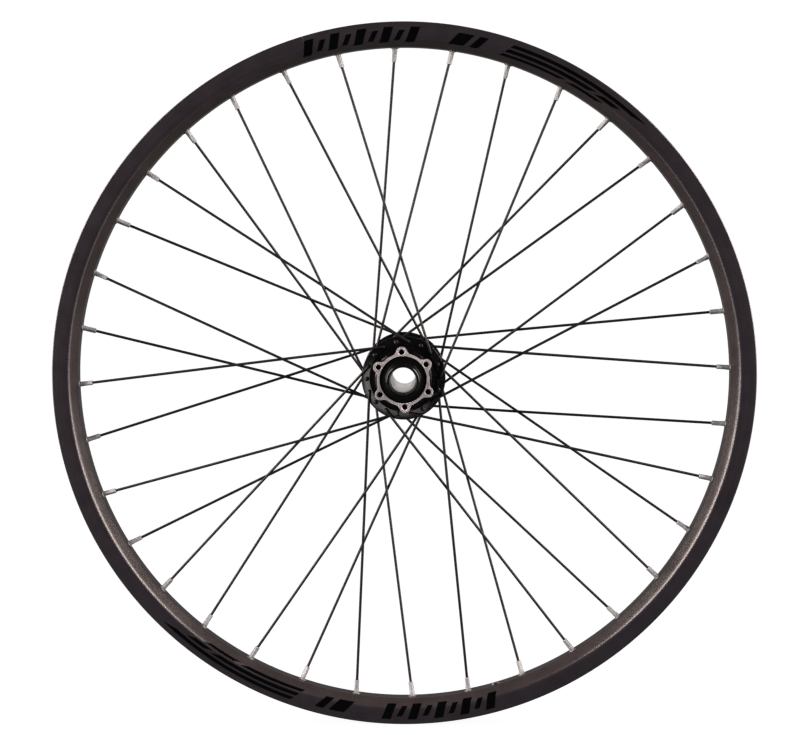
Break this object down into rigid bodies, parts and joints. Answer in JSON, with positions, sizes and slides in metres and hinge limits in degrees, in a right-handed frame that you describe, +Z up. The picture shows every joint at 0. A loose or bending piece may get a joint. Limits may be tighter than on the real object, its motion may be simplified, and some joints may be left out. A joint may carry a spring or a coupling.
{
  "type": "bicycle front wheel",
  "caption": "Spoked bicycle front wheel without tyre: double-wall rim, crossed spokes with nipples, and a disc-brake hub with sealed bearings and a through-axle bore.",
  "frame": {"origin": "centre of the wheel, on the axle's line midway between the end caps' outer faces", "axes": "+Y along the axle away from the disc-brake side, +Z up, the valve hole 163 degrees clockwise of the top, seen from the disc side"},
  "size_m": [0.57, 0.11, 0.57],
  "materials": {
    "rim_black": "satin black anodised",
    "hub_black": "polished black anodised",
    "cap_black": "black anodised",
    "bare_alloy": "bare machined",
    "spoke_black": "black coated stainless steel; its nipple is silver",
    "bearing_steel": "ground bearing steel",
    "seal_rubber": "matte"
  },
  "bodies": {
    "axle": {"hollow_axle": "bare_alloy", "end_cap_left": "cap_black", "end_cap_right": "cap_black", "bearing_left_inner_race": "bearing_steel", "bearing_right_inner_race": "bearing_steel"},
    "wheel": {"spoke_01": "spoke_black", "spoke_02": "spoke_black", "spoke_03": "spoke_black", "spoke_04": "spoke_black", "spoke_05": "spoke_black", "spoke_06": "spoke_black", "spoke_07": "spoke_black", "spoke_08": "spoke_black", "spoke_09": "spoke_black", "spoke_10": "spoke_black", "spoke_11": "spoke_black", "spoke_12": "spoke_black", "spoke_13": "spoke_black", "spoke_14": "spoke_black", "spoke_15": "spoke_black", "spoke_16": "spoke_black", "spoke_17": "spoke_black", "spoke_18": "spoke_black", "spoke_19": "spoke_black", "spoke_20": "spoke_black", "spoke_21": "spoke_black", "spoke_22": "spoke_black", "spoke_23": "spoke_black", "spoke_24": "spoke_black", "spoke_25": "spoke_black", "spoke_26": "spoke_black", "spoke_27": "spoke_black", "spoke_28": "spoke_black", "spoke_29": "spoke_black", "spoke_30": "spoke_black", "spoke_31": "spoke_black", "spoke_32": "spoke_black", "spoke_33": "spoke_black", "spoke_34": "spoke_black", "spoke_35": "spoke_black", "spoke_36": "spoke_black", "rim": "rim_black", "rim_joint_sleeve": "bare_alloy", "hub_shell": "hub_black", "bearing_left_outer_race": "bearing_steel", "bearing_left_seal_outside": "seal_rubber", "bearing_left_seal_inside": "seal_rubber", "bearing_right_outer_race": "bearing_steel", "bearing_right_seal_outside": "seal_rubber", "bearing_right_seal_inside": "seal_rubber"},
    "ball_cage_left": {"bearing_left_ball_cage": "bearing_steel"},
    "ball_cage_right": {"bearing_right_ball_cage": "bearing_steel"}
  },
  "joints": [
    {"name": "wheel_spin", "type": "hinge", "parent": "axle", "child": "wheel", "pos_m": [0, 0, 0], "axis": [0, 1, 0], "continuous": true},
    {"name": "ball_cage_left_spin", "type": "hinge", "parent": "axle", "child": "ball_cage_left", "pos_m": [0, -0.0332, 0], "axis": [0, 1, 0], "continuous": true},
    {"name": "ball_cage_right_spin", "type": "hinge", "parent": "axle", "child": "ball_cage_right", "pos_m": [0, 0.0366, 0], "axis": [0, 1, 0], "continuous": true}
  ],
  "couplings": [
    {"joint": "ball_cage_left_spin", "follows": "wheel_spin", "ratio": 0.5565},
    {"joint": "ball_cage_right_spin", "follows": "wheel_spin", "ratio": 0.5565}
  ]
}
